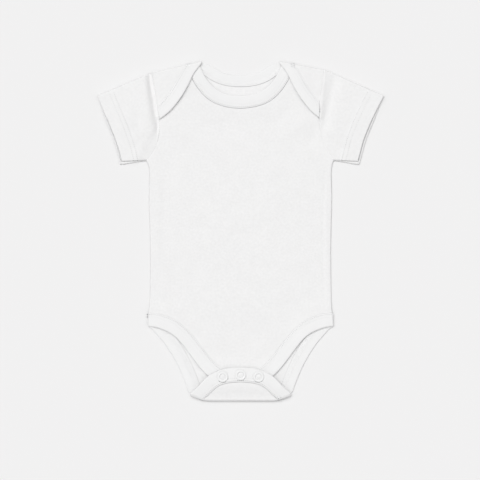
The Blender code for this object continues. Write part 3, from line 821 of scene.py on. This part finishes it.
def sleeve_surface(side):
    """Rings of one sleeve from the armhole to the cuff, and the run round and along it."""
    armhole = smooth(edge(ARMHOLE, side), 160)[::-1]
    armhole[0, 1] = FOLD_TOP - FOLD_DROP[side] * (armhole[0, 0] - FOLD_NECK_END)
    armhole = spaced(armhole, 160)
    cuff = smooth(edge(CUFF, side), 160)
    shares = np.concatenate([np.linspace(0.0, 0.06, 8, endpoint=False),
                             np.linspace(0.06, 0.965, SLEEVE_RINGS, endpoint=False),
                             [0.965, 0.98, 0.99, 0.997, 1.0]])
    thickness = np.interp(shares, *np.array(SLEEVE_THICKNESS).T)
    lap_end = LAP[-1][1]
    arc = np.linspace(0.0, math.pi, SLEEVE_END_STEPS + 1)[1:-1]
    rings, runs = [], []
    for share, thick in zip(shares, thickness):
        line = armhole * (1 - share) + cuff * share
        length = np.linalg.norm(np.diff(line, axis=0), axis=1).sum()
        half = 0.5 * thick
        rolled = np.array(UNDERARM) * [0.12 + 0.88 * share, 1.0]
        wall = np.linspace(half, length - rolled[0, 0], SLEEVE_WALL_STEPS + 1)
        back_wall = np.linspace(length - rolled[-1, 0], half, SLEEVE_WALL_STEPS + 1)
        at = np.concatenate([wall, length - rolled[1:-1, 0], back_wall,
                             half - half * np.sin(arc)])
        low = np.concatenate([np.zeros(len(wall)), 1.0 - rolled[1:-1, 1],
                              np.ones(len(wall)), 0.5 + 0.5 * np.cos(arc)])
        plan = np.stack([np.interp(at / length * (len(line) - 1), np.arange(len(line)),
                                   line[:, k]) for k in (0, 1)], 1)
        over = ramp(plan[:, 1], lap_end - 3.0, lap_end + 3.0)
        beside = KNIT + (lap_floor(plan[:, 0]) * over
                         + front_floor(plan[:, 0], plan[:, 1]) * (1.0 - over))
        blend = 0.10 + 0.45 * ramp(at / length * (1.0 - low), 0.55, 0.85)
        deep = thick + (beside - thick) * (1.0 - ramp(share / blend, 0.0, 1.0))
        z = deep * (1.0 - low) + 1.2 * (ramp(low, 0.9, 1.0) * ramp(share, 0.972, 0.99)
                                        * np.clip(at / 30.0, 0.0, 1.0))
        plan[:, 0] += CUFF_STEP * low * np.clip(at / 30.0, 0.0, 1.0) * ramp(share, 0.93, 1.0)
        rings.append(np.column_stack([plan, z]))
        runs.append(np.column_stack([at + (low > 0.5) * 2.0 * (length - at),
                                     np.full(len(at), share * 46.0)]))
    rings, runs = np.array(rings), np.array(runs)
    from_seam = np.linalg.norm(rings[..., :2] - rings[:1, :, :2], axis=2)
    from_cuff = np.linalg.norm(rings[..., :2] - rings[-1:, :, :2], axis=2)
    upper = ramp(rings[..., 2] / rings[..., 2].max(axis=1)[:, None], 0.5, 0.75)
    x, y = side * rings[..., 0], rings[..., 1]
    rise = creased(x, y, SLEEVE_CREASES[side]) * ramp(from_seam, 0.0, 2.4)
    rise -= 0.2 * np.exp(-(from_seam / 1.0) ** 2)
    rise += 0.6 * np.exp(-((from_seam - 2.2) / 1.2) ** 2) * ramp(y, 112.0, 128.0)
    rise += 0.30 * (1.0 - ramp(from_cuff, HEM - 0.6, HEM + 0.6))
    rise -= 0.15 * (1.0 - ramp(from_cuff, 0.0, 0.8))
    rings[..., 2] += np.maximum(rise, 1.9 - thickness[:, None]) * upper
    rings[..., 0] *= side
    return rings, runs


hem_lines = []
for side, word in ((LEFT, "left"), (RIGHT, "right")):
    rings, runs = sleeve_surface(side)
    name = f"sleeve_{word}_cloth"
    mesh = mesh_of_grids(name, [(rings, side == LEFT)], closed=True)
    sleeve = add_piece(name, mesh, interlock, "interlock", f"sleeve_{word}")
    give_wall(sleeve, SHELL)
    from_cuff = np.linalg.norm(rings[..., :2] - rings[-1:, :, :2], axis=2)
    for row in HEM_ROWS:
        line = []
        for k in range(1, SLEEVE_WALL_STEPS):
            column = from_cuff[::-1, k]
            line.append([np.interp(row, column, rings[::-1, k, axis]) for axis in range(3)])
        hem_lines.append(np.array(line) + np.array([0.0, 0.0, -HEM_SUNK]))

# ---------------------------------------------------------------------------------------
# The sewing: two needle rows of white thread on the outside of every binding and hem, and
# the looper's zigzag between them on the inside, where the inside shows.

STITCH = 2.15
THREAD = 1.3
# sizes of the near-black beads of painted shade that stand for the needle holes
NEEDLE_HOLE_SHADE = 1.26
HEM_HOLE_SHADE = 1.12
NEEDLE_SUNK = 0.45
ARMHOLE_SUNK = 0.30
thread_material = speckled("thread", 0.6, 1500.0, (0.97,) * 3, (0.99,) * 3, Sheen_Weight=0.1)

# painted shade: the needle holes are near-black beads, and their colour stands in for the shade
# inside each hole
hole_shade_material = speckled("needle_hole_painted_shade", 1.0, 1500.0, (0.16,) * 3, (0.26,) * 3)
SEWING_MATERIALS = {"Thread": thread_material, "Shade": hole_shade_material}


def sewing_tree(name, sockets):
    """A Geometry Nodes tree with a geometry input and output and named number inputs."""
    tree = bpy.data.node_groups.new(name, "GeometryNodeTree")
    tree.interface.new_socket("Path", in_out="INPUT", socket_type="NodeSocketGeometry")
    for label in sockets:
        tree.interface.new_socket(label, in_out="INPUT", socket_type="NodeSocketFloat")
    for label in ("Thread", "Shade"):
        tree.interface.new_socket(label, in_out="INPUT", socket_type="NodeSocketMaterial")
    tree.interface.new_socket("Sewn", in_out="OUTPUT", socket_type="NodeSocketGeometry")
    return tree, tree.nodes.new("NodeGroupInput"), tree.nodes.new("NodeGroupOutput")


def needle_tree():
    """Straight stitches end to end along a path, each followed by a near-black bead of painted
    shade where the thread goes down into its needle hole.
    """
    tree, given, result = sewing_tree("needle_row", ("Stitch", "Thickness", "Hole"))
    link = tree.links.new

    def bead(width, length, lift, material):
        ball = tree.nodes.new("GeometryNodeMeshUVSphere")
        ball.inputs["Segments"].default_value = 6
        ball.inputs["Rings"].default_value = 5
        ball.inputs["Radius"].default_value = 0.5
        size = tree.nodes.new("ShaderNodeCombineXYZ")
        for axis, value in zip("XYZ", (width, width, length)):
            link(value, size.inputs[axis])
        place = tree.nodes.new("ShaderNodeCombineXYZ")
        if lift:
            link(lift, place.inputs["Z"])
        shape = tree.nodes.new("GeometryNodeTransform")
        link(ball.outputs["Mesh"], shape.inputs["Geometry"])
        link(size.outputs["Vector"], shape.inputs["Scale"])
        link(place.outputs["Vector"], shape.inputs["Translation"])
        paint = tree.nodes.new("GeometryNodeSetMaterial")
        link(shape.outputs["Geometry"], paint.inputs["Geometry"])
        link(given.outputs[material], paint.inputs["Material"])
        return paint.outputs["Geometry"]

    def share(socket, factor):
        scaled = tree.nodes.new("ShaderNodeMath")
        scaled.operation = "MULTIPLY"
        scaled.inputs[1].default_value = factor
        link(socket, scaled.inputs[0])
        return scaled.outputs[0]

    curve = tree.nodes.new("GeometryNodeMeshToCurve")
    link(given.outputs["Path"], curve.inputs["Mesh"])
    resample = tree.nodes.new("GeometryNodeResampleCurve")
    resample.mode = "LENGTH"
    link(curve.outputs["Curve"], resample.inputs["Curve"])
    link(given.outputs["Stitch"], resample.inputs["Length"])
    tangent = tree.nodes.new("GeometryNodeInputTangent")
    align = tree.nodes.new("FunctionNodeAlignRotationToVector")
    align.axis = "Z"
    link(tangent.outputs["Tangent"], align.inputs["Vector"])
    pair = tree.nodes.new("GeometryNodeJoinGeometry")
    link(bead(given.outputs["Thickness"], share(given.outputs["Stitch"], 0.64), None,
              "Thread"), pair.inputs["Geometry"])
    # the second bead, half a stitch on, is painted shade for the needle hole
    link(bead(given.outputs["Hole"], given.outputs["Hole"],
              share(given.outputs["Stitch"], 0.5), "Shade"), pair.inputs["Geometry"])
    place = tree.nodes.new("GeometryNodeInstanceOnPoints")
    link(resample.outputs["Curve"], place.inputs["Points"])
    link(pair.outputs["Geometry"], place.inputs["Instance"])
    link(align.outputs["Rotation"], place.inputs["Rotation"])
    realize = tree.nodes.new("GeometryNodeRealizeInstances")
    link(place.outputs["Instances"], realize.inputs["Geometry"])
    link(realize.outputs["Geometry"], result.inputs["Sewn"])
    return tree


def looper_tree():
    """A zigzag of thread from side to side of a path."""
    tree, given, result = sewing_tree("looper_row", ("Stitch", "Thickness", "Half Width"))
    link = tree.links.new
    curve = tree.nodes.new("GeometryNodeMeshToCurve")
    link(given.outputs["Path"], curve.inputs["Mesh"])
    resample = tree.nodes.new("GeometryNodeResampleCurve")
    resample.mode = "LENGTH"
    link(curve.outputs["Curve"], resample.inputs["Curve"])
    link(given.outputs["Stitch"], resample.inputs["Length"])
    tangent = tree.nodes.new("GeometryNodeInputTangent")
    side = tree.nodes.new("ShaderNodeVectorMath")
    side.operation = "CROSS_PRODUCT"
    side.inputs[1].default_value = (0.0, 0.0, 1.0)
    link(tangent.outputs["Tangent"], side.inputs[0])
    index = tree.nodes.new("GeometryNodeInputIndex")
    parity = tree.nodes.new("ShaderNodeMath")
    parity.operation = "MODULO"
    parity.inputs[1].default_value = 2.0
    link(index.outputs[0], parity.inputs[0])
    sign = tree.nodes.new("ShaderNodeMath")
    sign.operation = "MULTIPLY_ADD"
    sign.inputs[1].default_value = 2.0
    sign.inputs[2].default_value = -1.0
    link(parity.outputs[0], sign.inputs[0])
    swing = tree.nodes.new("ShaderNodeMath")
    swing.operation = "MULTIPLY"
    link(sign.outputs[0], swing.inputs[0])
    link(given.outputs["Half Width"], swing.inputs[1])
    offset = tree.nodes.new("ShaderNodeVectorMath")
    offset.operation = "SCALE"
    link(side.outputs["Vector"], offset.inputs[0])
    link(swing.outputs[0], offset.inputs["Scale"])
    move = tree.nodes.new("GeometryNodeSetPosition")
    link(resample.outputs["Curve"], move.inputs["Geometry"])
    link(offset.outputs["Vector"], move.inputs["Offset"])
    profile = tree.nodes.new("GeometryNodeCurvePrimitiveCircle")
    profile.inputs["Resolution"].default_value = 5
    radius = tree.nodes.new("ShaderNodeMath")
    radius.operation = "MULTIPLY"
    radius.inputs[1].default_value = 0.5
    link(given.outputs["Thickness"], radius.inputs[0])
    link(radius.outputs[0], profile.inputs["Radius"])
    sweep = tree.nodes.new("GeometryNodeCurveToMesh")
    sweep.inputs["Fill Caps"].default_value = True
    link(move.outputs["Geometry"], sweep.inputs["Curve"])
    link(profile.outputs["Curve"], sweep.inputs["Profile Curve"])
    realize = tree.nodes.new("GeometryNodeRealizeInstances")
    link(sweep.outputs["Mesh"], realize.inputs["Geometry"])
    paint = tree.nodes.new("GeometryNodeSetMaterial")
    link(realize.outputs["Geometry"], paint.inputs["Geometry"])
    link(given.outputs["Thread"], paint.inputs["Material"])
    link(paint.outputs["Geometry"], result.inputs["Sewn"])
    return tree


def sew(name, tree, lines, **sizes):
    """Rows of thread along lines in millimetres, made by a tree and kept as a plain mesh."""
    points, links = [], []
    for line in lines:
        first = len(points)
        points.extend((line * MM).tolist())
        links.extend((k, k + 1) for k in range(first, len(points) - 1))
    mesh = bpy.data.meshes.new(name)
    mesh.from_pydata(points, links, [])
    piece = bpy.data.objects.new(name, mesh)
    scene.collection.objects.link(piece)
    sewing = piece.modifiers.new("sewing", "NODES")
    sewing.node_group = tree
    for item in tree.interface.items_tree:
        if item.in_out == "INPUT" and item.name in sizes:
            sewing[item.identifier] = sizes[item.name] * MM
        elif item.in_out == "INPUT" and item.name in SEWING_MATERIALS:
            sewing[item.identifier] = SEWING_MATERIALS[item.name]
    bake_modifiers(piece)
    piece.data.shade_smooth()
    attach(piece, "root")
    return piece


armhole_lines = []
for side in (LEFT, RIGHT):
    line = armhole_below(side, lambda x: shoulder_axis(side, x) - 3.0, 160)
    under_lap = line[:, 1] < LAP[-1][1]
    top = np.where(under_lap, front_floor(line[:, 0], line[:, 1]), lap_floor(line[:, 0])) + KNIT
    armhole_lines.append(np.column_stack([side * line[:, 0], line[:, 1], top - ARMHOLE_SUNK]))

needle = needle_tree()
looper = looper_tree()
outside_rows = {
    "front_neck_stitches": front_neck, "front_leg_stitches": front_leg,
    "back_neck_stitches": back_neck, "back_leg_stitches": back_leg,
}
for name, strip in outside_rows.items():
    lines = [strip.line(row, NEEDLE_SUNK) for row in NEEDLE_ROWS]
    sew(name, needle, lines, Stitch=STITCH, Thickness=THREAD, Hole=NEEDLE_HOLE_SHADE)
sew("hem_stitches", needle, hem_lines, Stitch=STITCH, Thickness=THREAD, Hole=HEM_HOLE_SHADE)

sew("armhole_stitches", needle, armhole_lines, Stitch=STITCH, Thickness=0.6, Hole=0.5)

inside = [back_neck_half(side) for side in (LEFT, RIGHT)]
neck_inside = inside[0].mirrored() + inside[1]
keep = (neck_inside.inward[:, 2] > 0.99) & (np.abs(neck_inside.seam[:, 0]) < 48.0)
lines = [neck_inside.line(0.5 * sum(NEEDLE_ROWS), BINDING + 0.05)[keep]]
sew("neck_looper_row", looper, lines, **{"Stitch": 1.07, "Thickness": 0.5, "Half Width": 1.6})
lines = [leg.line(3.9, BINDING + 0.05)]
lines += [lines[0] * np.array([-1.0, 1.0, 1.0])]
sew("leg_looper_rows", looper, lines, **{"Stitch": 1.07, "Thickness": 0.5, "Half Width": 2.4})

# ---------------------------------------------------------------------------------------
# The snaps: open prong rings of white enamelled brass, pressed into the flap's binding.
# Their sockets, studs and rear rings stay as they are, in the same enamel.

enamel = speckled("enamel", 0.38, 400.0, (0.78,) * 3, (0.82,) * 3, Coat_Weight=0.15)

# section of the ring: radius, height above the binding
RING_SECTION = ((5.8, -0.45), (5.85, 0.2), (5.76, 0.52), (5.5, 0.64), (5.0, 0.66),
                (4.6, 0.56), (4.35, 0.54), (4.1, 0.62), (3.7, 0.64), (3.4, 0.50),
                (3.22, 0.1), (3.3, -0.45))
RING_SEGMENTS = 72
for number, (x, y) in enumerate(SNAPS, start=1):
    turns = np.linspace(0.0, math.tau, RING_SEGMENTS, endpoint=False)
    section = smooth(RING_SECTION + RING_SECTION[:1], 33)[:-1]
    radius, rise = section[:, 0], section[:, 1]
    rings = np.stack([x + radius[None, :] * np.cos(turns)[:, None],
                      y + radius[None, :] * np.sin(turns)[:, None],
                      np.broadcast_to(FLAP_FLOOR + BINDING + 0.40 + rise,
                                      (len(turns), len(rise)))], 2)
    rings = np.concatenate([rings, rings[:1]])
    mesh = mesh_of_grids(f"snap_ring_{number}_metal", [(rings, False)], closed=True)
    work = bmesh.new()
    work.from_mesh(mesh)
    bmesh.ops.remove_doubles(work, verts=work.verts, dist=0.01 * MM)
    bmesh.ops.recalc_face_normals(work, faces=work.faces)
    work.to_mesh(mesh)
    work.free()
    add_piece(f"snap_ring_{number}_metal", mesh, enamel, "snap", f"snap_ring_{number}")
    for part in ("socket", "stud", "back_ring"):
        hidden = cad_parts[f"snap_{part}_{number}"]
        hidden.data.materials.clear()
        hidden.data.materials.append(enamel)
